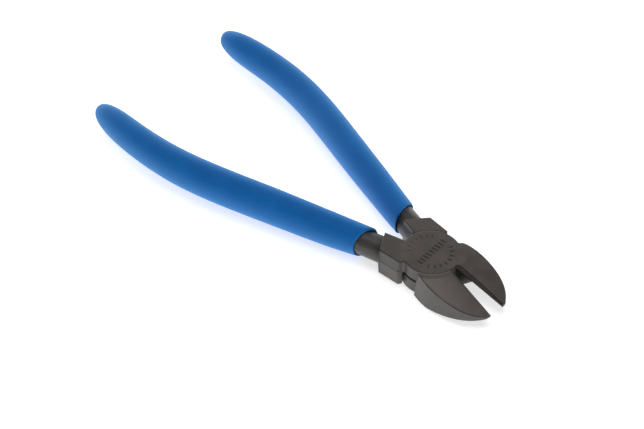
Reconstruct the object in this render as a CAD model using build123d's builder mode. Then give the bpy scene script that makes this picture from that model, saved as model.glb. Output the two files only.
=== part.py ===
from build123d import *

# Diagonal cutting pliers of the 160 mm size, lying flat and slightly open.
# Origin: on the rivet's axis, at the flat underside of the head. +X points to the jaw tips and
# +Z is up. Each lever is drawn in its own plan, whose X axis lies along that lever's cutting
# edge; the two plans are turned half the opening angle away from X. `side` is +1 for the upper
# lever (jaw towards +Y, handle towards -Y) and -1 for the lower lever, its mirror image in plan.

import os
from math import cos, radians, sin, tan

# --- driving dimensions (mm and degrees) ---
HEAD_THICKNESS = 10.0
HALF_OPENING = 5.3  # each lever's turn away from closed, as the tool lies
DIE_SHIFT = 0.6  # the upper lever's shoulder is this much further back and its jaw further forward
UPPER, LOWER = 1, -1

# joint
DISC_RADIUS = 9.45  # round lap plate of each lever
UPPER_SEAT_GAP = 0.15  # between the top plate's rim and the lower lever's seat
LOWER_SEAT_GAP = 0.5  # between the bottom plate's rim and the upper lever's seat
LAP_GAP = 0.05  # between the two lap plates
CORNER_ROUND = 0.8  # where a lap plate runs into its own jaw and shoulder
REBATE_DEPTH = 0.35  # the bottom plate's top face is lower than the joint along its rim
REBATE_WIDTH = 2.0
RIVET_RADIUS = 3.0
RIVET_HEAD_RADIUS = 4.0
RIVET_HEAD_DEPTH = 1.2
RIVET_CLEARANCE = 0.05  # all round the rivet in the lower lever

# jaws
JAW_LENGTH = 28.05  # rivet axis to the end of the cutting edge
JAW_WIDTH = 10.7  # cutting edge to the widest place of one jaw, at the underside
JAW_DRAFT = 3.2  # degrees that its outer wall leans in
EDGE_HEIGHT_REAR = 9.2  # cutting edge above the underside, at the lap plate
EDGE_HEIGHT_TIP = 4.15
BEVEL_ANGLE = 43.0  # top bevel of the cutting edge, from horizontal
RELIEF_ANGLE = 40.0  # ground flank under the cutting edge, from vertical
RELIEF_START = 16.0  # where the flank meets the cutting edge, from the rivet axis
RELIEF_RUNOUT_SLOPE = 47.0
GRIND_SHIFT = 1.3  # the jaw faces are ground about a centre this far from the rivet
TOP_START = 10.7  # the top face starts to fall this far from the grinding centre
TOP_AT_TIP = 4.75
TOP_CROWN = 0.15  # how far the top face stands above a straight slope
UNDERSIDE_START = 13.5
UNDERSIDE_AT_TIP = 3.9

# shoulders
SHOULDER_CREASE = 5.8  # height of the crease round its sides
SHOULDER_TOP_LEAN = 0.6  # how far its sides lean in from the crease to the top
SHOULDER_BOTTOM_LEAN = 0.35
SHOULDER_UPRIGHT = 0.1  # left upright between the two leaning faces
SHOULDER_ROUND = 0.8

# handles
NECK_START = (-9.5, -4.19)  # just outside the lap plate
HANDLE_SLOPE = 11.5  # straight part, from the cutting edge's line
HANDLE_STRAIGHT = 66.0
HANDLE_BEND_RADIUS = 131.0
HANDLE_BEND = 19.0
HANDLE_LENGTH = 125.1  # along its centre line, from NECK_START to the grip's end
NECK_WIDTH = 8.4
NECK_HEIGHT = 9.2
TANG_END_SCALE = 0.7
TANG_SHORTER = 6.0  # the tang stops this far short of the grip's end

# grips
GRIP_START = 7.5  # along the centre line from NECK_START, before the mouth is cut
GRIP_MOUTH = 11.35  # the mouth's middle, along the same line
GRIP_MOUTH_TURN = 8.0  # of the mouth, its outer side back, from square to the tool
GRIP_WIDTH = 10.5
GRIP_HEIGHT = 13.6
GRIP_MIDDLE = 67.5  # where it is fullest, along the same line
GRIP_TAPER = 0.14  # how much it has thinned at its end
GRIP_END_RADIUS = 3.0
GRIP_LIP_RADIUS = 0.8
LOFT_STEPS = 8

# engraved marks on the top plate
MARK_DEPTH = 0.15
BAR_WIDTH = 0.45
ROW_PITCH = 1.5
ROW_COUNT = 9
ROW_HEIGHT = 2.2
FRONT_RADIUS, REAR_RADIUS = 6.5, 7.2
FAN_HEIGHT = 1.4
FRONT_COUNT, FRONT_START, FRONT_STEP = 8, -60.0, 17.0  # bars, first bar's angle, angle between
REAR_COUNT, REAR_START, REAR_STEP = 7, 125.0, 15.0
FAINT_WIDTH = 0.3
FAINT_DEPTH = 0.06

# derived
LAP_HEIGHT = HEAD_THICKNESS / 2
EDGE_SLOPE = (EDGE_HEIGHT_REAR - EDGE_HEIGHT_TIP) / (JAW_LENGTH - DISC_RADIUS)
OVERSIZE = 20.0  # how far cutting tools reach past the steel
OVERLAP = 1.0  # how far a cutting tool starts outside the steel
TOUCHING = 0.01  # edges this close to the lap plate's rim lie on it


def lever_plan(side, height=0.0):
    """Horizontal plane whose X axis runs along one lever's cutting edge."""
    turn = radians(side * HALF_OPENING)
    return Plane((0, 0, height), x_dir=(cos(turn), sin(turn), 0), z_dir=(0, 0, 1))


def edge_height(x):
    """Height of the cutting edge at x along it."""
    return EDGE_HEIGHT_REAR - EDGE_SLOPE * (x - DISC_RADIUS)


def jaw_blank(side):
    """One jaw before grinding, from the rivet axis to the tip."""
    rear_root = (3.0, 8.3)
    rear_corner = (4.2 + side * DIE_SHIFT, 10.0)
    crown = (10.3, JAW_WIDTH)
    flank = (16.2, JAW_WIDTH - 0.8)
    cheek = (22.8, JAW_WIDTH - 3.4)
    nose = (JAW_LENGTH - 0.15, 1.9)
    plan = lever_plan(UPPER)
    with BuildPart() as jaw:
        with BuildSketch(plan):
            with BuildLine():
                Polyline(rear_corner, rear_root, (0, -OVERLAP), (JAW_LENGTH, -OVERLAP), nose)
                Spline(nose, cheek, flank, crown, rear_corner)
            make_face()
        extrude(amount=HEAD_THICKNESS, taper=JAW_DRAFT)
        split(bisect_by=Plane(plan.origin, z_dir=plan.y_dir), keep=Keep.TOP)
        if side == LOWER:
            mirror(about=Plane.XZ, mode=Mode.REPLACE)
    return jaw.part


def shoulder_block(side):
    """Block behind the joint; its sides lean in above and below a crease."""
    back = -side * DIE_SHIFT
    points = [(-8.0, 0.65), (-17.4, 2.4), (back - 12.6, 10.45), (back - 4.6, 10.55), (back - 3.0, 8.0)]
    with BuildPart() as block:
        with BuildSketch(lever_plan(side)):
            with BuildLine():
                Polyline([(x, -side * y) for x, y in points], close=True)
            make_face()
        extrude(amount=HEAD_THICKNESS)
        back_corners = block.edges().filter_by(Axis.Z).sort_by(Axis.X)[:2]
        fillet(back_corners, radius=SHOULDER_ROUND)
        outward = Axis((0, 0, 0), (0, -side, 0))
        outer_side = block.faces().filter_by(Axis.Z, reverse=True).sort_by(outward)[-1]
        low_edge, high_edge = outer_side.edges().filter_by(Axis.Z, reverse=True).sort_by(Axis.Z)
        bottom_face, *_, top_face = block.faces().sort_by(Axis.Z)
        lean_above = HEAD_THICKNESS - SHOULDER_CREASE
        lean_below = SHOULDER_CREASE - SHOULDER_UPRIGHT
        chamfer(high_edge, SHOULDER_TOP_LEAN, lean_above, reference=top_face)
        chamfer(low_edge, SHOULDER_BOTTOM_LEAN, lean_below, reference=bottom_face)
    return block.part


def grinding_axis_plane(side):
    """Upright plane through the grinding centre, with X along the cutting edge and Y up."""
    plan = lever_plan(side)
    centre = plan.from_local_coords((0, side * GRIND_SHIFT, 0))
    return Plane(centre, x_dir=plan.x_dir, z_dir=-plan.y_dir)


def grinding_tool(side):
    """Turned shape that takes the jaw's top down to the tip and its underside up."""
    upright = grinding_axis_plane(side)
    far = JAW_LENGTH + OVERSIZE
    top_start = (TOP_START, HEAD_THICKNESS)
    top_end = (JAW_LENGTH, TOP_AT_TIP)
    top_middle = ((TOP_START + JAW_LENGTH) / 2, (HEAD_THICKNESS + TOP_AT_TIP) / 2 + TOP_CROWN)
    under_start = (UNDERSIDE_START, 0)
    under_end = (JAW_LENGTH, UNDERSIDE_AT_TIP)
    under_far = (far, UNDERSIDE_AT_TIP)
    below = [(far, -OVERLAP), (UNDERSIDE_START, -OVERLAP)]
    with BuildPart() as tool:
        with BuildSketch(upright):
            with BuildLine():
                ThreePointArc(top_start, top_middle, top_end)
                Polyline(top_end, (far, TOP_AT_TIP), (far, OVERSIZE), (TOP_START, OVERSIZE), top_start)
            make_face()
            with BuildLine():
                Polyline(under_start, under_end, under_far, *below, close=True)
            make_face()
        revolve(axis=Axis(upright.origin, (0, 0, 1)))
        split(bisect_by=Plane(upright.origin, z_dir=upright.x_dir), keep=Keep.TOP)
    return tool.part


def bevel_tool(side):
    """Prism over the cutting edge that grinds its top bevel."""
    plan = lever_plan(side)
    behind = DISC_RADIUS - OVERSIZE
    ahead = JAW_LENGTH + OVERSIZE
    edge_start = plan.from_local_coords((behind, 0, edge_height(behind)))
    edge_end = plan.from_local_coords((ahead, 0, edge_height(ahead)))
    across = plan.y_dir * side
    section_plane = Plane(edge_start, x_dir=across, z_dir=edge_end - edge_start)
    upward = 1 if section_plane.y_dir.Z > 0 else -1
    rise = upward * OVERSIZE * tan(radians(BEVEL_ANGLE))
    with BuildPart() as tool:
        with BuildSketch(section_plane):
            with BuildLine():
                Polyline((0, 0), (OVERSIZE, rise), (-OVERLAP, rise), (-OVERLAP, 0), close=True)
            make_face()
        extrude(amount=(edge_end - edge_start).length)
    return tool.part


def relief_tool(side):
    """Wedge that grinds the flank away under the cutting edge."""
    plan = lever_plan(side)
    runout = 1 / tan(radians(RELIEF_RUNOUT_SLOPE))
    start_height = edge_height(RELIEF_START)
    wall = Plane(plan.origin, x_dir=plan.x_dir * -side, z_dir=plan.y_dir * side)
    far = JAW_LENGTH + OVERSIZE
    low = -OVERSIZE
    lean = radians(RELIEF_ANGLE)
    edge_start = plan.from_local_coords((RELIEF_START, 0, start_height))
    edge_end = plan.from_local_coords((far, 0, edge_height(far)))
    down_flank = plan.y_dir * side * sin(lean) - plan.z_dir * cos(lean)
    flank = Plane(edge_start, x_dir=down_flank, z_dir=(edge_start - edge_end).cross(down_flank) * side)
    with BuildPart() as tool:
        with BuildSketch(wall):
            with BuildLine():
                Polyline(
                    (-side * RELIEF_START, start_height),
                    (-side * far, edge_height(far)),
                    (-side * far, low),
                    (-side * (RELIEF_START + (low - start_height) * runout), low),
                    close=True,
                )
            make_face()
        extrude(amount=JAW_WIDTH)
        split(bisect_by=flank, keep=Keep.TOP)
    return tool.part


def handle_line(side):
    """Centre line of one handle at mid height, from the shoulder to the grip's end."""
    start = (NECK_START[0], side * NECK_START[1])
    bend_length = HANDLE_BEND_RADIUS * radians(HANDLE_BEND)
    end_length = HANDLE_LENGTH - HANDLE_STRAIGHT - bend_length
    with BuildLine(lever_plan(side, LAP_HEIGHT)) as line:
        straight = PolarLine(start, HANDLE_STRAIGHT, 180 + side * HANDLE_SLOPE)
        bend = JernArc(straight @ 1, straight % 1, HANDLE_BEND_RADIUS, -side * HANDLE_BEND)
        PolarLine(bend @ 1, end_length, 180 + side * (HANDLE_SLOPE - HANDLE_BEND))
    return line.wire()


def handle_loft(side, start, end, width, height, scale):
    """Oval body along a handle; scale(distance) grows or shrinks the oval along the way."""
    line = handle_line(side)
    with BuildPart() as body:
        for step in range(LOFT_STEPS + 1):
            distance = start + (end - start) * step / LOFT_STEPS
            place = distance / line.length
            with BuildSketch(Plane(line @ place, x_dir=(0, 0, 1), z_dir=line % place)):
                Ellipse(scale(distance) * height / 2, scale(distance) * width / 2)
        loft()
    return body.part


def tang_scale(distance):
    """The tang thins evenly towards its end."""
    return 1 - (1 - TANG_END_SCALE) * distance / HANDLE_LENGTH


def grip_scale(distance):
    """The grip is fullest at its middle and thins to both ends."""
    from_middle = (distance - GRIP_MIDDLE) / (HANDLE_LENGTH - GRIP_MIDDLE)
    return 1 - GRIP_TAPER * from_middle**2


def tang(side):
    """Neck and the tang inside the grip."""
    end = HANDLE_LENGTH - TANG_SHORTER
    return handle_loft(side, 0, end, NECK_WIDTH, NECK_HEIGHT, tang_scale)


def grip(side):
    """Dipped sleeve on one tang: rounded off at its end, cut nearly square to the tool at its mouth."""
    line = handle_line(side)
    mouth_middle = line @ ((GRIP_MOUTH + side * DIE_SHIFT) / line.length)
    turn = radians(GRIP_MOUTH_TURN)
    mouth = Plane(mouth_middle, z_dir=(-cos(turn), side * sin(turn), 0))
    with BuildPart() as sleeve:
        add(handle_loft(side, GRIP_START, HANDLE_LENGTH, GRIP_WIDTH, GRIP_HEIGHT, grip_scale))
        split(bisect_by=mouth, keep=Keep.TOP)
        ends = sleeve.faces().filter_by(GeomType.PLANE).sort_by(Axis.X)
        fillet(ends[0].edges(), radius=GRIP_END_RADIUS)
        fillet(ends[-1].edges(), radius=GRIP_LIP_RADIUS)
        add(tang(side), mode=Mode.SUBTRACT)
    return sleeve.part


def lever_blank(side):
    """Everything of one lever except its lap plate."""
    with BuildPart() as blank:
        add(jaw_blank(side))
        for tool in (grinding_tool(side), bevel_tool(side), relief_tool(side)):
            add(tool, mode=Mode.SUBTRACT)
        add(shoulder_block(side))
        add(tang(side))
    return blank.part


def lap_plate(bottom, top):
    """Round half-thickness plate."""
    with BuildPart() as plate:
        with BuildSketch(Plane.XY.offset(bottom)):
            Circle(DISC_RADIUS)
        extrude(amount=top - bottom)
    return plate.part


def rebate():
    """Ring taken off the bottom plate along its rim, which leaves an open line between the plates."""
    with BuildPart() as ring:
        with BuildSketch(Plane.XY.offset(LAP_HEIGHT - REBATE_DEPTH)):
            Circle(DISC_RADIUS + OVERLAP)
            Circle(DISC_RADIUS - REBATE_WIDTH, mode=Mode.SUBTRACT)
        extrude(amount=LAP_HEIGHT)
    return ring.part


def rivet_shape(clearance=0.0):
    """Rivet with a countersunk head at both ends, grown all round by the clearance."""
    shank = RIVET_RADIUS + clearance
    head = RIVET_HEAD_RADIUS + clearance
    with BuildPart() as shape:
        with BuildSketch(Plane.XZ):
            with BuildLine():
                Polyline(
                    (0, 0),
                    (head, 0),
                    (shank, RIVET_HEAD_DEPTH),
                    (shank, HEAD_THICKNESS - RIVET_HEAD_DEPTH),
                    (head, HEAD_THICKNESS),
                    (0, HEAD_THICKNESS),
                    close=True,
                )
            make_face()
        revolve(axis=Axis.Z)
    return shape.part


def fan_of_bars(radius, count, start_angle, step_angle, width):
    """Bars on the top plate, each pointing to the rivet axis."""
    with BuildSketch(lever_plan(UPPER, HEAD_THICKNESS)) as fan:
        with PolarLocations(radius, count, start_angle, count * step_angle):
            Rectangle(FAN_HEIGHT, width)
    return fan.sketch


def marks():
    """Plain engraved bars: a row across the top plate, a fan in front and a fainter one behind."""
    with BuildSketch(lever_plan(UPPER, HEAD_THICKNESS)) as row:
        with GridLocations(0, ROW_PITCH, 1, ROW_COUNT):
            Rectangle(ROW_HEIGHT, BAR_WIDTH)
    front_fan = fan_of_bars(FRONT_RADIUS, FRONT_COUNT, FRONT_START, FRONT_STEP, BAR_WIDTH)
    rear_fan = fan_of_bars(REAR_RADIUS, REAR_COUNT, REAR_START, REAR_STEP, FAINT_WIDTH)
    with BuildPart() as engraving:
        extrude(row.sketch, amount=-MARK_DEPTH)
        extrude(front_fan, amount=-MARK_DEPTH)
        extrude(rear_fan, amount=-FAINT_DEPTH)
    return engraving.part


def plate_corners(lever, height):
    """Upright edges at a height where the lap plate's rim runs into its own jaw and shoulder."""
    return [
        edge
        for edge in lever.edges().filter_by(Axis.Z)
        if abs(edge.center().Z - height) < LAP_HEIGHT / 4
        and abs(Vector(edge.center().X, edge.center().Y).length - DISC_RADIUS) < TOUCHING
        and abs(edge.center().Y) > DISC_RADIUS / 2
    ]


with BuildPart() as upper_lever:
    add(lever_blank(UPPER))
    with BuildSketch():
        Circle(DISC_RADIUS + LOWER_SEAT_GAP)
    extrude(amount=LAP_HEIGHT + LAP_GAP / 2, mode=Mode.SUBTRACT)
    add(lap_plate(LAP_HEIGHT + LAP_GAP / 2, HEAD_THICKNESS))
    fillet(plate_corners(upper_lever, HEAD_THICKNESS * 3 / 4), radius=CORNER_ROUND)
    add(rivet_shape(), mode=Mode.SUBTRACT)
    add(marks(), mode=Mode.SUBTRACT)

with BuildPart() as lower_lever:
    add(lever_blank(LOWER))
    with BuildSketch(Plane.XY.offset(LAP_HEIGHT - LAP_GAP / 2)):
        Circle(DISC_RADIUS + UPPER_SEAT_GAP)
    extrude(amount=OVERSIZE, mode=Mode.SUBTRACT)
    add(lap_plate(0, LAP_HEIGHT - LAP_GAP / 2))
    fillet(plate_corners(lower_lever, HEAD_THICKNESS / 4), radius=CORNER_ROUND)
    add(rebate(), mode=Mode.SUBTRACT)
    add(rivet_shape(RIVET_CLEARANCE), mode=Mode.SUBTRACT)

with BuildPart() as pivot_rivet:
    add(rivet_shape())
    add(marks(), mode=Mode.SUBTRACT)


with BuildPart() as upper_grip:
    add(grip(UPPER))

with BuildPart() as lower_grip:
    add(grip(LOWER))

os.makedirs("parts", exist_ok=True)
pieces = {
    "upper_lever": upper_lever,
    "lower_lever": lower_lever,
    "pivot_rivet": pivot_rivet,
    "upper_grip": upper_grip,
    "lower_grip": lower_grip,
}
for name, piece in pieces.items():
    piece.part.label = name
    export_step(piece.part, f"parts/{name}.step")
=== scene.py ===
"""Looks of the diagonal cutting pliers: phosphated steel levers and rivet, dipped vinyl grips."""

import math

import bmesh
import bpy
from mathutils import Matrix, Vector, noise
from mathutils.bvhtree import BVHTree


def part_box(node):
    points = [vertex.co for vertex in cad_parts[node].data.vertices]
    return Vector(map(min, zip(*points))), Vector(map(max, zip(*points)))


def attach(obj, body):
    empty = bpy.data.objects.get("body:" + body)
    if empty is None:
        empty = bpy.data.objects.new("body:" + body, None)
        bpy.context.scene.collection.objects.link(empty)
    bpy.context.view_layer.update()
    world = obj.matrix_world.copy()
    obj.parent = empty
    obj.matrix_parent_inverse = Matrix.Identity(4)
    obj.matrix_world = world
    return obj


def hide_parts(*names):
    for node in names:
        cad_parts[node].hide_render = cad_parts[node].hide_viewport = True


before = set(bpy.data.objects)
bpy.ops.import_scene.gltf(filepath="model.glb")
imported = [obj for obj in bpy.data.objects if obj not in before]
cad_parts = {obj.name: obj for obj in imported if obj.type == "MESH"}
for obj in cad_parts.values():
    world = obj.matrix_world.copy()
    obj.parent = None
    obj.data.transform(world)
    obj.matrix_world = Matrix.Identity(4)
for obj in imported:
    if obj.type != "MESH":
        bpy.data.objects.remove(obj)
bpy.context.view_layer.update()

MM = 0.001
UP = Vector((0, 0, 1))
HEAD_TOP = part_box("pivot_rivet")[1].z
SIDES = {"upper": 1, "lower": -1}  # the way each half turns about the rivet as the tool opens
STEEL_NODES = {"upper_lever": "upper", "lower_lever": "lower", "pivot_rivet": "upper"}

# --- measuring the CAD grips, in metres ---
FIRST_PLACE = 3 * MM  # behind the mouth, where the measuring starts
STEP = 4 * MM  # from one place along a grip to the next
REACH = 12 * MM  # measuring rays start this far out
LOOK_AHEAD = 0.01  # share of a step over which a line's direction is taken

# --- grips, in metres ---
RING_POINTS = 48
OVAL_POWER = 2.12  # 2 is an ellipse; a little more fills its corners
FULLEST = 0.46  # share of a grip's length where it is fullest, from its mouth
MOUTH_TAPER = 0.125  # how much thinner it is at its mouth
TAIL_TAPER = 0.165  # and towards its closed end
DOME_LENGTH = 20 * MM
DOME_POWER = 3.0
DOME_RINGS = 14
MOUTH_TURN = math.radians(8)  # of the mouth, its outer side back, from square to the tool
SQUARE_LENGTH = 16 * MM  # over which the mouth's slanting cut fades out
MOUTH_LIFT = 0.3 * MM  # the underside rises by twice this towards the mouth
LIFT_LENGTH = 14 * MM
LIP_BULGE = 0.4 * MM
LIP_RINGS = 8
BORE_GAP = 0.04 * MM  # round the tang inside the grip
MOUTH_GAP = 0.22 * MM  # the same at the mouth, where it shows as a dark line
MOUTH_GAP_DEPTH = 1.6 * MM
UNEVENNESS = 0.05 * MM  # slow waves that dipping leaves in the vinyl
UNEVEN_SIZE = 9 * MM

# --- vinyl: colours are linear RGB, sizes are in metres ---
NOISE_SPREAD = (0.3, 0.7)  # most values of a noise lie between these, of the steel's too
VINYL_DARK = (0.008, 0.112, 0.380)
VINYL = (0.009, 0.128, 0.420)
VINYL_PALE = (0.012, 0.160, 0.480)
VINYL_RIM_SHEEN = (0.045, 0.220, 0.540)  # painted sheen where it is seen at a grazing angle
CLOUD_SIZE = 11 * MM
PEBBLE_SIZE = 0.35 * MM
PEBBLE_DEPTH = 0.03 * MM
PEBBLE_SHARE = 0.5
PEBBLE_SPREAD = (0.35, 0.75)  # values of its noise where a pebble starts and where it is full
RIM_SHEEN = (0.1, 0.75)  # how far the surface is turned away where the painted sheen of the rim starts and where it is full
VINYL_ROUGHNESS = (0.50, 0.58)
VINYL_SPECULAR = 0.06

# --- steel: colours are linear RGB, sizes are in metres ---
GROUND_DARK = (0.073, 0.061, 0.056)
GROUND_LIGHT = (0.090, 0.076, 0.070)
FORGED = (0.073, 0.070, 0.068)
SPECK_COLOUR = (0.128, 0.116, 0.109)
# painted shade just under the edges and along the crease of the shoulders
EDGE_SHADE = (0.006, 0.005, 0.005)
MARK_COLOUR = (0.030, 0.022, 0.018)
# painted shade in narrow corners, and under the lap behind the rivet
CORNER_SHADE = (0.012, 0.009, 0.008)
# painted shade along the seam of the lap joint
SEAM_SHADE = (0.003, 0.003, 0.003)
NECK_DARK = (0.052, 0.049, 0.045)
NECK_LIGHT = (0.072, 0.069, 0.065)
# painted shade on the neck next to the shoulder
SHOULDER_SHADE = (0.022, 0.020, 0.018)
SPECK_SHARE = 0.35
EDGE_SHADE_SHARE = 0.9
CREASE_SHADE_SHARE = 0.6
MARK_SHARE = 0.8
SHOULDER_SHADE_SHARE = 0.7
CORNER_SHADE_SHARES = (0.1, 1.0)  # of the painted shade, in a corner anywhere, and under the lap behind the rivet
BLOTCH_SIZE = 4 * MM
SPECK_SIZE = 0.22 * MM
SPECK_DEPTH = 0.012 * MM
STREAK_SIZE = 1.2 * MM
STREAK_DEPTH = 0.01 * MM
STREAK_STRETCH = (0.12, 1, 1)  # of the place, so that streaks run along the neck
EDGE_ROUND = 0.8 * MM
CREVICE_WIDTH = 0.7 * MM  # corners narrower than this get painted shade
STEEL_ROUGHNESS = (0.44, 0.50)
METALLIC = 0.6
NECK_DULLING = 0.25  # how much less metallic the neck is
SPECULAR = 0.5

# --- places on the levers, in metres ---
LAP_SEAM = HEAD_TOP / 2 - 0.05 * MM
CREASE_HEIGHT = 5.8 * MM  # of the crease round the shoulders' outer sides
HALF_OPENING = math.radians(5.3)  # of the cutting edges at rest
SHOULDER_BACK = 15.4 * MM  # rivet axis to the shoulder's back face
SHOULDER_BACK_TURN = math.radians(27.6)  # of that face, from square to the cutting edge

# --- where each look of the steel starts, and where it is full ---
SPECK_SPREAD = (0.35, 0.7)  # values of the specks' noise
WALL = (0.55, 0.35)  # how far a face looks up or down
BENT = (0.98, 0.85)  # likeness of the rounded normal and the sharp one
UNDER_EDGE = (0.03, 0.14)  # how far rounding turns the normal up
CREVICE = (0.8, 0.35)  # how open a corner is
RIVET_AREA = (5.2 * MM, 5.0 * MM)  # the rivet is ground flush, so edges stay sharp this near
PLATE_AREA = (9.3 * MM, 9.2 * MM)  # the marks are inside it
SEAT_AREA = (9.7 * MM, 9.65 * MM)  # painted shade darkens the lap joint's seam out to here
MARK_FLOOR = (HEAD_TOP - 0.02 * MM, HEAD_TOP - 0.03 * MM)  # the marks are cut deeper than this
ABOVE_SEAT = (HEAD_TOP - 0.4 * MM, HEAD_TOP - 0.3 * MM)  # and less deep than this
NEAR_LAP = (0.42 * MM, 0.34 * MM)  # up and down from the seam
UNDER_LAP = (LAP_SEAM, LAP_SEAM - 0.3 * MM)
BEHIND_RIVET = (-2 * MM, -3 * MM)
NEAR_CREASE = (0.22 * MM, 0.11 * MM)  # up and down from the crease
CREASE_OUT = (6 * MM, 6.5 * MM)  # to either side of the tool's axis
CREASE_BACK = (-3 * MM, -3.5 * MM)
NECK = (SHOULDER_BACK, SHOULDER_BACK + 0.4 * MM)
# where the painted shade on the neck starts, and where it is full at the shoulder's back face
SHOULDER_SHADE_SPAN = (SHOULDER_BACK + 3.5 * MM, SHOULDER_BACK)

# --- surroundings, in metres and degrees ---
FRONT_REST = 13 * MM  # the head touches the table this far in front of the rivet
FLOOR_SIZE = 12.0
FLOOR_CLEARANCE = 0.08 * MM
FLOOR_GLOW = 0.95
FLOOR_COLOUR = (0.86, 0.86, 0.86)
FLOOR_ROUGHNESS = 0.6
FLOOR_SEEN = 0.71  # share of the table's light that the camera sees
WHITE = (1, 1, 1)
DIM_LIGHT = 0.02
SOFTBOXES = (  # height above the horizon and turn from the camera in degrees, strength
    (90, 0, 3.6),
    (8, 45, 3.2),
    (8, 135, 1.7),
    (8, 180, 2.7),
    (8, 225, 5.5),
)
SOFTBOX = (math.cos(math.radians(30)), math.cos(math.radians(6)))  # its rim and its core

# --- camera ---
CAMERA_TURN = math.radians(45.83)
CAMERA_HEIGHT = math.radians(44.58)
CAMERA_DISTANCE = 0.5198
CAMERA_LENS = 89.44
CAMERA_SENSOR = 36
CAMERA_CLIP = (0.01, 20)
CAMERA_AIM = Vector((-39.48, -9.49, 5.0)) * MM

# --- sockets of Blender's Mix node, which share names and so go by number ---
SHARE_INPUT = 0
VECTOR_INPUTS = (4, 5)
VECTOR_OUTPUT = 1
COLOUR_INPUTS = (6, 7)
COLOUR_OUTPUT = 2


# ---------------------------------------------------------------- node helpers


def new_material(name):
    """A material with its node tree and its principled shader."""
    material = bpy.data.materials.new(name)
    material.use_nodes = True
    tree = material.node_tree
    return material, tree, tree.nodes["Principled BSDF"]


def feed(tree, socket, value):
    """Links an input to a socket, or sets it to a number, a vector or an RGB colour."""
    if isinstance(value, bpy.types.NodeSocket):
        tree.links.new(value, socket)
    elif socket.type == "RGBA":
        socket.default_value = (*value, 1)
    else:
        socket.default_value = value


def feed_inputs(tree, node, **values):
    """Feeds a node's inputs, named with _ for a space."""
    for key, value in values.items():
        feed(tree, node.inputs[key.replace("_", " ")], value)


def add_node(tree, kind, **settings):
    """A node whose settings are its properties, or inputs named with _ for a space."""
    node = tree.nodes.new(kind)
    for key, value in settings.items():
        if hasattr(node, key):
            setattr(node, key, value)
        else:
            feed_inputs(tree, node, **{key: value})
    return node


def math_node(tree, operation, *values):
    """Result of one math operation on sockets or numbers."""
    node = add_node(tree, "ShaderNodeMath", operation=operation)
    for socket, value in zip(node.inputs, values):
        feed(tree, socket, value)
    return node.outputs[0]


def vector_node(tree, operation, first, second):
    """The vector math node for one operation on two vectors."""
    node = add_node(tree, "ShaderNodeVectorMath", operation=operation)
    for socket, value in zip(node.inputs, (first, second)):
        feed(tree, socket, value)
    return node


def dot(tree, first, second):
    """Dot product of two vectors."""
    return vector_node(tree, "DOT_PRODUCT", first, second).outputs["Value"]


def product(tree, first, *others):
    """Product of two or more sockets or numbers."""
    result = first
    for other in others:
        result = math_node(tree, "MULTIPLY", result, other)
    return result


def ramp(tree, value, span, ends=(0.0, 1.0)):
    """value taken smoothly from one of the ends to the other over a span."""
    node = add_node(tree, "ShaderNodeMapRange", interpolation_type="SMOOTHSTEP")
    feed_inputs(tree, node, Value=value, From_Min=span[0], From_Max=span[1], To_Min=ends[0], To_Max=ends[1])
    return node.outputs["Result"]


def grain(tree, place, size, detail=2.0, roughness=0.5):
    """Noise whose lumps are about size metres across, from 0 to 1."""
    node = add_node(
        tree, "ShaderNodeTexNoise", Vector=place, Scale=1 / size, Detail=detail, Roughness=roughness
    )
    return node.outputs["Fac"]


def mix_colour(tree, share, first, second):
    """Mix of two colours, all second where share is 1."""
    node = add_node(tree, "ShaderNodeMix", data_type="RGBA")
    for number, value in zip((SHARE_INPUT, *COLOUR_INPUTS), (share, first, second)):
        feed(tree, node.inputs[number], value)
    return node.outputs[COLOUR_OUTPUT]


def mix_vector(tree, share, first, second):
    """Mix of two vectors, all second where share is 1."""
    node = add_node(tree, "ShaderNodeMix", data_type="VECTOR")
    for number, value in zip((SHARE_INPUT, *VECTOR_INPUTS), (share, first, second)):
        feed(tree, node.inputs[number], value)
    return node.outputs[VECTOR_OUTPUT]


def bump(tree, height, depth, normal=None):
    """Normal on which height, from 0 to 1, stands depth metres proud."""
    node = add_node(tree, "ShaderNodeBump", Height=height, Distance=depth)
    if normal is not None:
        feed_inputs(tree, node, Normal=normal)
    return node.outputs["Normal"]


def upward(tree, normal):
    """How far a normal points up."""
    return add_node(tree, "ShaderNodeSeparateXYZ", Vector=normal).outputs["Z"]


# ---------------------------------------------------------------- steel


class Spot:
    """The shaded point of the tool: its place, and its distance out from the rivet's axis."""

    def __init__(self, tree):
        self.tree = tree
        self.place = add_node(tree, "ShaderNodeTexCoord").outputs["Object"]
        self.x, self.y, self.z = add_node(tree, "ShaderNodeSeparateXYZ", Vector=self.place).outputs
        squares = math_node(tree, "ADD", product(tree, self.x, self.x), product(tree, self.y, self.y))
        self.out = math_node(tree, "SQRT", squares)

    def height_from(self, height):
        """Distance up or down from a height."""
        return math_node(self.tree, "ABSOLUTE", math_node(self.tree, "SUBTRACT", self.z, height))


def ground_steel(tree, blotches, specks):
    """Brown-black ground faces and greyer forged walls, with pale specks all over."""
    ground = mix_colour(tree, ramp(tree, blotches, NOISE_SPREAD), GROUND_DARK, GROUND_LIGHT)
    normal = add_node(tree, "ShaderNodeNewGeometry").outputs["Normal"]
    wall = ramp(tree, math_node(tree, "ABSOLUTE", upward(tree, normal)), WALL)
    colour = mix_colour(tree, wall, ground, FORGED)
    return mix_colour(tree, ramp(tree, specks, SPECK_SPREAD, (0.0, SPECK_SHARE)), colour, SPECK_COLOUR)


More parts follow.
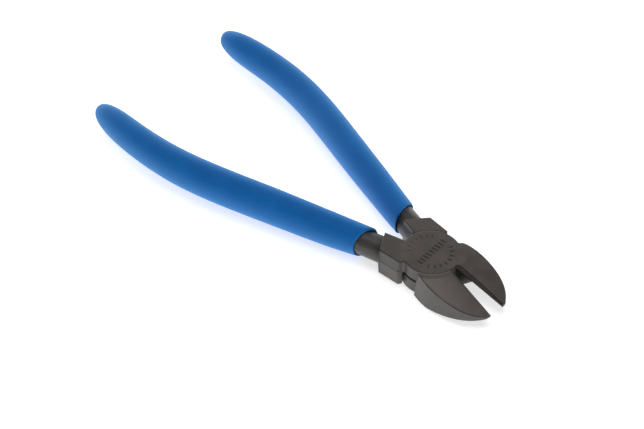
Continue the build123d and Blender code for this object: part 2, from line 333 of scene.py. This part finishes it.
def rounded_edges(tree, spot):
    """Normal with the edges slightly rounded, and how much painted shade a point gets just under an edge.
    """
    rounded = add_node(tree, "ShaderNodeBevel", samples=6, Radius=EDGE_ROUND).outputs["Normal"]
    sharp = add_node(tree, "ShaderNodeNewGeometry").outputs["Normal"]
    lift = math_node(tree, "SUBTRACT", upward(tree, rounded), upward(tree, sharp))
    shade_under_edge = ramp(tree, lift, UNDER_EDGE, (0.0, EDGE_SHADE_SHARE))
    off_rivet = math_node(tree, "SUBTRACT", 1.0, ramp(tree, spot.out, RIVET_AREA))
    edge = product(tree, ramp(tree, dot(tree, rounded, sharp), BENT), off_rivet)
    return mix_vector(tree, edge, sharp, rounded), shade_under_edge


def shaded_crease(tree, spot, colour):
    """colour with painted shade along the crease round the outer sides of the shoulders."""
    line = ramp(tree, spot.height_from(CREASE_HEIGHT), NEAR_CREASE, (0.0, CREASE_SHADE_SHARE))
    outside = ramp(tree, math_node(tree, "ABSOLUTE", spot.y), CREASE_OUT)
    share = product(tree, line, outside, ramp(tree, spot.x, CREASE_BACK))
    return mix_colour(tree, share, colour, EDGE_SHADE)


def shaded_corners(tree, spot, colour):
    """colour with painted shade in narrow corners, strongest under the lap behind the rivet."""
    occlusion = add_node(tree, "ShaderNodeAmbientOcclusion", samples=8, Distance=CREVICE_WIDTH)
    in_corner = ramp(tree, occlusion.outputs["AO"], CREVICE)
    low_behind = product(tree, ramp(tree, spot.z, UNDER_LAP), ramp(tree, spot.x, BEHIND_RIVET))
    strength = ramp(tree, low_behind, (0.0, 1.0), CORNER_SHADE_SHARES)
    return mix_colour(tree, product(tree, in_corner, strength), colour, CORNER_SHADE)


def stained(tree, spot, colour):
    """colour with a dark stain in the marks of the top plate."""
    in_mark = product(tree, ramp(tree, spot.z, MARK_FLOOR), ramp(tree, spot.z, ABOVE_SEAT))
    share = product(tree, ramp(tree, spot.out, PLATE_AREA), in_mark, MARK_SHARE)
    return mix_colour(tree, share, colour, MARK_COLOUR)


def shaded_seam(tree, spot, colour):
    """colour with black painted shade along the seam of the lap joint."""
    seam = ramp(tree, spot.height_from(LAP_SEAM), NEAR_LAP)
    return mix_colour(tree, product(tree, seam, ramp(tree, spot.out, SEAT_AREA)), colour, SEAM_SHADE)


def neck(tree, spot, side):
    """How much of a point is on the neck behind the shoulder, its colour there with painted shade next to
    the shoulder, and its streaks.
    """
    turn = side * (HALF_OPENING + SHOULDER_BACK_TURN)
    back = dot(tree, spot.place, (-math.cos(turn), -math.sin(turn), 0))
    stretched = vector_node(tree, "MULTIPLY", spot.place, STREAK_STRETCH).outputs["Vector"]
    streaks = grain(tree, stretched, STREAK_SIZE)
    bare = mix_colour(tree, ramp(tree, streaks, NOISE_SPREAD), NECK_DARK, NECK_LIGHT)
    colour = mix_colour(tree, ramp(tree, back, SHOULDER_SHADE_SPAN, (0.0, SHOULDER_SHADE_SHARE)), bare, SHOULDER_SHADE)
    return ramp(tree, back, NECK), colour, streaks


def steel(name, side):
    """Phosphated forged steel with painted shade under edges, along the crease and the lap seam and in
    corners, and a barer neck; side is 1 or -1 as in SIDES.
    """
    material, tree, shader = new_material(name)
    spot = Spot(tree)
    blotches = grain(tree, spot.place, BLOTCH_SIZE, detail=4)
    specks = grain(tree, spot.place, SPECK_SIZE, roughness=0.65)
    normal, shade_under_edge = rounded_edges(tree, spot)
    on_neck, neck_colour, streaks = neck(tree, spot, side)

    colour = mix_colour(tree, shade_under_edge, ground_steel(tree, blotches, specks), EDGE_SHADE)
    for layer in (shaded_crease, shaded_corners, stained, shaded_seam):
        colour = layer(tree, spot, colour)
    colour = mix_colour(tree, on_neck, colour, neck_colour)

    # the painted shade under the edges also takes away metal and specular
    lit = math_node(tree, "SUBTRACT", 1.0, shade_under_edge)
    metallic = math_node(tree, "SUBTRACT", METALLIC, product(tree, on_neck, NECK_DULLING))
    normal = bump(tree, specks, SPECK_DEPTH, normal)
    feed_inputs(
        tree,
        shader,
        Base_Color=colour,
        Roughness=ramp(tree, blotches, NOISE_SPREAD, STEEL_ROUGHNESS),
        Metallic=product(tree, metallic, lit),
        Specular_IOR_Level=product(tree, SPECULAR, lit),
        Normal=bump(tree, streaks, STREAK_DEPTH, normal),
    )
    return material


# ---------------------------------------------------------------- vinyl


def vinyl():
    """Soft blue dipped vinyl: matt, very finely pebbled, a little uneven in tone, with a painted sheen
    where it is seen at a grazing angle.
    """
    material, tree, shader = new_material("dipped_vinyl")
    place = add_node(tree, "ShaderNodeTexCoord").outputs["Object"]
    cloudy = grain(tree, place, CLOUD_SIZE, detail=3)
    pebbles = grain(tree, place, PEBBLE_SIZE, roughness=0.6)
    colour = mix_colour(tree, ramp(tree, cloudy, NOISE_SPREAD), VINYL_DARK, VINYL)
    colour = mix_colour(tree, ramp(tree, pebbles, PEBBLE_SPREAD, (0.0, PEBBLE_SHARE)), colour, VINYL_PALE)
    turned_away = add_node(tree, "ShaderNodeLayerWeight", Blend=0.5).outputs["Facing"]
    feed_inputs(
        tree,
        shader,
        Base_Color=mix_colour(tree, ramp(tree, turned_away, RIM_SHEEN), colour, VINYL_RIM_SHEEN),
        Roughness=ramp(tree, cloudy, NOISE_SPREAD, VINYL_ROUGHNESS),
        Specular_IOR_Level=VINYL_SPECULAR,
        Normal=bump(tree, pebbles, PEBBLE_DEPTH),
    )
    return material


# ---------------------------------------------------------------- grips


def surface(node):
    """Search tree of a CAD node's faces."""
    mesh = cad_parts[node].data
    return BVHTree.FromPolygons([v.co for v in mesh.vertices], [p.vertices for p in mesh.polygons])


def crossing(tree, point, direction):
    """Where a line through point enters and leaves a body, or None where it misses."""
    near = tree.ray_cast(point + direction * REACH, -direction, 2 * REACH)[0]
    far = tree.ray_cast(point - direction * REACH, direction, 2 * REACH)[0]
    if near is None or far is None:
        return None
    return near, far


def half_size(tree, point, direction):
    """Half a body's size along a direction through point; nothing where it misses."""
    ends = crossing(tree, point, direction)
    return (ends[0] - ends[1]).length / 2 if ends else 0.0


def centre_line(node, mouth_normal):
    """Points down the middle of a CAD grip, STEP apart, from its mouth to its closed end."""
    tree = surface(node)
    vertices = [v.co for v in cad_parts[node].data.vertices]
    mouth = max(v.dot(mouth_normal) for v in vertices) - LIP_BULGE
    near = [v for v in vertices if 0 < mouth - FIRST_PLACE - v.dot(mouth_normal) < STEP]
    guess = sum(near, Vector()) / len(near)
    guess.z = HEAD_TOP / 2
    along = Vector((-1, 0, 0))
    points = []
    while True:
        ends = crossing(tree, guess, UP.cross(along))
        if ends is None:
            break
        points.append((ends[0] + ends[1]) / 2)
        if len(points) > 1:
            along = (points[-1] - points[-2]).normalized()
        guess = points[-1] + along * STEP
    tip = tree.ray_cast(points[-1] + along * REACH, -along, REACH)[0]
    points.append(points[-1] + along * (tip - points[-1]).dot(along))
    forward = (points[1] - points[2]).normalized()
    to_mouth = (mouth - points[1].dot(mouth_normal)) / forward.dot(mouth_normal)
    return [points[1] + forward * to_mouth] + points[1:]


def hermite(a, slope_a, b, slope_b, t):
    """Cubic from a to b with given slopes."""
    turn = t * t * (3 - 2 * t)
    return a.lerp(b, turn) + slope_a * (t * (1 - t) ** 2) - slope_b * (t * t * (1 - t))


class Line:
    """Smooth line through points, read by its distance from the first, which lies in the grip's mouth."""

    def __init__(self, points, mouth_normal):
        self.points = points
        self.mouth_normal = mouth_normal
        self.places = [0.0]
        for a, b in zip(points, points[1:]):
            self.places.append(self.places[-1] + (b - a).length)
        self.length = self.places[-1]

    def at(self, distance):
        """Point and direction at a distance."""
        last = len(self.points) - 2
        i = next((k for k in range(last) if distance < self.places[k + 1]), last)
        span = self.places[i + 1] - self.places[i]
        t = (distance - self.places[i]) / span
        before = self.points[i - 1] if i else 2 * self.points[0] - self.points[1]
        after = self.points[i + 2] if i < last else 2 * self.points[-1] - self.points[-2]
        a, b = self.points[i], self.points[i + 1]
        slope_a, slope_b = (b - before) / 2, (after - a) / 2
        point = hermite(a, slope_a, b, slope_b, t)
        ahead = hermite(a, slope_a, b, slope_b, t + LOOK_AHEAD)
        return point, (ahead - point).normalized()


def rounded(ratio):
    """A cosine or sine turned into a place on an oval with fuller corners than an ellipse."""
    return math.copysign(abs(ratio) ** (2 / OVAL_POWER), ratio)


def fullness(distance, length):
    """Thickness of a grip at a distance from its mouth, as a share of its fullest."""
    share = distance / length
    if share < FULLEST:
        size = 1 - MOUTH_TAPER * (1 - share / FULLEST) ** 2
    else:
        size = 1 - TAIL_TAPER * ((share - FULLEST) / (1 - FULLEST)) ** 2
    into_dome = max(0.0, (distance - length + DOME_LENGTH) / DOME_LENGTH)
    return size * max(0.0, 1 - into_dome**DOME_POWER) ** (1 / DOME_POWER)


def oval(line, distance, half_width, half_height):
    """Ring of points round the line; near the mouth it leans until it lies in the mouth's plane."""
    centre, along = line.at(distance)
    across = UP.cross(along)
    fade = max(0.0, 1 - distance / SQUARE_LENGTH) ** 2
    lean = -across.dot(line.mouth_normal) / along.dot(line.mouth_normal) * fade
    ring = []
    for i in range(RING_POINTS):
        angle = 2 * math.pi * i / RING_POINTS
        u = half_width * rounded(math.cos(angle))
        v = half_height * rounded(math.sin(angle))
        ring.append(centre + across * u + UP * v + along * (u * lean))
    return ring


def outer_ring(line, distance, outer):
    """Ring of a sleeve's outside, outer being its half width and half height where it is fullest.

    Its underside rises towards the mouth.
    """
    half_width, half_height = (size * fullness(distance, line.length) for size in outer)
    lift = MOUTH_LIFT * max(0.0, 1 - distance / LIFT_LENGTH) ** 2
    return [point + UP * lift for point in oval(line, distance, half_width, half_height - lift)]


def uneven(ring, centre, height):
    """The same ring with slow waves in it."""
    return [p + (p - centre).normalized() * (height * noise.noise(p / UNEVEN_SIZE)) for p in ring]


def bore_rings(line, tang_tree):
    """Rings of a sleeve's bore from its mouth to where the tang inside ends."""
    rings = []
    distance = 0.0
    while distance < line.length:
        centre, along = line.at(distance)
        width = half_size(tang_tree, centre, UP.cross(along))
        height = half_size(tang_tree, centre, UP)
        if not width or not height:
            break
        opening = max(0.0, 1 - distance / MOUTH_GAP_DEPTH)
        gap = BORE_GAP + (MOUTH_GAP - BORE_GAP) * opening
        rings.append(oval(line, distance, width + gap, height + gap))
        distance += MOUTH_GAP_DEPTH / 2 if distance < MOUTH_GAP_DEPTH else STEP
    return rings


def lip_rings(line, inside, outside):
    """Rings of the rounded lip that joins the bore to the outside."""
    forward = -line.at(0)[1]
    rings = []
    for i in range(1, LIP_RINGS):
        angle = math.pi * i / LIP_RINGS
        share = (1 - math.cos(angle)) / 2
        bulge = forward * (LIP_BULGE * math.sin(angle))
        rings.append([a.lerp(b, share) + bulge for a, b in zip(inside, outside)])
    return rings


def outside_rings(line, outer):
    """Rings of a sleeve's outside from its mouth to near the tip of its closed end."""
    dome_start = line.length - DOME_LENGTH
    places = [i * STEP for i in range(int(dome_start / STEP) + 1)]
    quarter = math.pi / 2
    places += [dome_start + DOME_LENGTH * math.sin(quarter * i / DOME_RINGS) for i in range(1, DOME_RINGS)]
    rings = []
    for place in places:
        height = UNEVENNESS * min(1.0, place / UNEVEN_SIZE) * fullness(place, line.length)
        rings.append(uneven(outer_ring(line, place, outer), line.at(place)[0], height))
    return rings


def new_object(name, shape):
    """Object in the scene with the mesh of a finished bmesh."""
    mesh = bpy.data.meshes.new(name)
    shape.to_mesh(mesh)
    shape.free()
    body = bpy.data.objects.new(name, mesh)
    bpy.context.scene.collection.objects.link(body)
    return body


def skin(name, rings, first_pole, last_pole, material):
    """Closed smooth mesh over rings, with a pole beyond each end."""
    shape = bmesh.new()
    loops = [[shape.verts.new(p) for p in ring] for ring in rings]
    for a, b in zip(loops, loops[1:]):
        for i in range(RING_POINTS):
            j = (i + 1) % RING_POINTS
            shape.faces.new((a[i], a[j], b[j], b[i]))
    for loop, pole in ((loops[0], first_pole), (loops[-1], last_pole)):
        top = shape.verts.new(pole)
        for i in range(RING_POINTS):
            shape.faces.new((loop[i], loop[(i + 1) % RING_POINTS], top))
    bmesh.ops.recalc_face_normals(shape, faces=shape.faces)
    if shape.calc_volume(signed=True) < 0:
        bmesh.ops.reverse_faces(shape, faces=shape.faces)
    for face in shape.faces:
        face.smooth = True
    body = new_object(name, shape)
    body.data.materials.append(material)
    finer = body.modifiers.new("finer", "SUBSURF")
    finer.levels = 1
    finer.render_levels = 1
    return body


def grip_sleeve(half, material):
    """Vinyl sleeve that stands for one CAD grip; half is upper or lower."""
    cad_grip = f"{half}_grip"
    mouth_normal = Vector((math.cos(MOUTH_TURN), -SIDES[half] * math.sin(MOUTH_TURN), 0))
    line = Line(centre_line(cad_grip, mouth_normal), mouth_normal)
    grip_tree = surface(cad_grip)
    middle, along = line.at(line.length * FULLEST)
    outer = (half_size(grip_tree, middle, UP.cross(along)), half_size(grip_tree, middle, UP))
    bore = bore_rings(line, surface(f"{half}_lever"))
    lip = lip_rings(line, bore[0], outer_ring(line, 0, outer))
    rings = bore[::-1] + lip + outside_rings(line, outer)
    bore_end = sum(rings[0], Vector()) / RING_POINTS
    sleeve = skin(f"{half}_grip_sleeve", rings, bore_end, line.points[-1], material)
    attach(sleeve, f"{half}_half")
    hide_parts(cad_grip)


# ---------------------------------------------------------------- surroundings


def light_table():
    """Glowing white; the camera sees it dimmer than it lights, so that faint shadows still show."""
    material, tree, shader = new_material("light_table")
    camera_ray = add_node(tree, "ShaderNodeLightPath").outputs["Is Camera Ray"]
    seen = ramp(tree, camera_ray, (0.0, 1.0), (1.0, FLOOR_SEEN))
    dimmed = tuple(FLOOR_SEEN * value for value in FLOOR_COLOUR)
    feed_inputs(
        tree,
        shader,
        Base_Color=mix_colour(tree, camera_ray, FLOOR_COLOUR, dimmed),
        Roughness=FLOOR_ROUGHNESS,
        Emission_Color=WHITE,
        Emission_Strength=product(tree, seen, FLOOR_GLOW),
    )
    return material


def floor():
    """White light table, tilted a little so that the head and the grips both rest on it."""
    grip_points = [v.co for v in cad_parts["upper_grip"].data.vertices]
    tilt = max(math.atan2(-point.z, FRONT_REST - point.x) for point in grip_points)
    shape = bmesh.new()
    bmesh.ops.create_grid(shape, x_segments=1, y_segments=1, size=FLOOR_SIZE / 2)
    plane = new_object("floor", shape)
    plane.data.materials.append(light_table())
    plane.location = (FRONT_REST, 0, -FLOOR_CLEARANCE)
    plane.rotation_euler = (0, -tilt, 0)


def heading(height, turn):
    """Direction at a height above the horizon, turned left round the tool from the camera's."""
    around = CAMERA_TURN - math.pi / 2 + turn
    level = math.cos(height)
    return Vector((math.cos(around) * level, math.sin(around) * level, math.sin(height)))


def sky():
    """Studio light: a softbox overhead and low bright panels round the table, dim between them."""
    world = bpy.data.worlds.new("studio")
    bpy.context.scene.world = world
    world.use_nodes = True
    tree = world.node_tree
    direction = add_node(tree, "ShaderNodeTexCoord").outputs["Generated"]
    light = DIM_LIGHT
    for height, turn, strength in SOFTBOXES:
        nearness = dot(tree, direction, heading(math.radians(height), math.radians(turn)))
        light = math_node(tree, "ADD", light, ramp(tree, nearness, SOFTBOX, (0.0, strength)))
    feed_inputs(tree, tree.nodes["Background"], Color=WHITE, Strength=light)


def camera():
    """Camera at the usual product angle: over the tool's right shoulder, jaws nearest."""
    back = heading(CAMERA_HEIGHT, 0)
    data = bpy.data.cameras.new("camera")
    data.lens = CAMERA_LENS
    data.sensor_width = CAMERA_SENSOR
    data.clip_start, data.clip_end = CAMERA_CLIP
    eye = bpy.data.objects.new("camera", data)
    bpy.context.scene.collection.objects.link(eye)
    eye.location = CAMERA_AIM + back * CAMERA_DISTANCE
    eye.rotation_euler = (-back).to_track_quat("-Z", "Y").to_euler()
    bpy.context.scene.camera = eye


# ---------------------------------------------------------------- the scene

dipped_vinyl = vinyl()
for half in SIDES:
    grip_sleeve(half, dipped_vinyl)
for node_name, half in STEEL_NODES.items():
    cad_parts[node_name].material_slots[0].material = steel(f"{node_name}_steel", SIDES[half])
floor()
sky()
camera()
bpy.context.scene.view_settings.view_transform = "Standard"
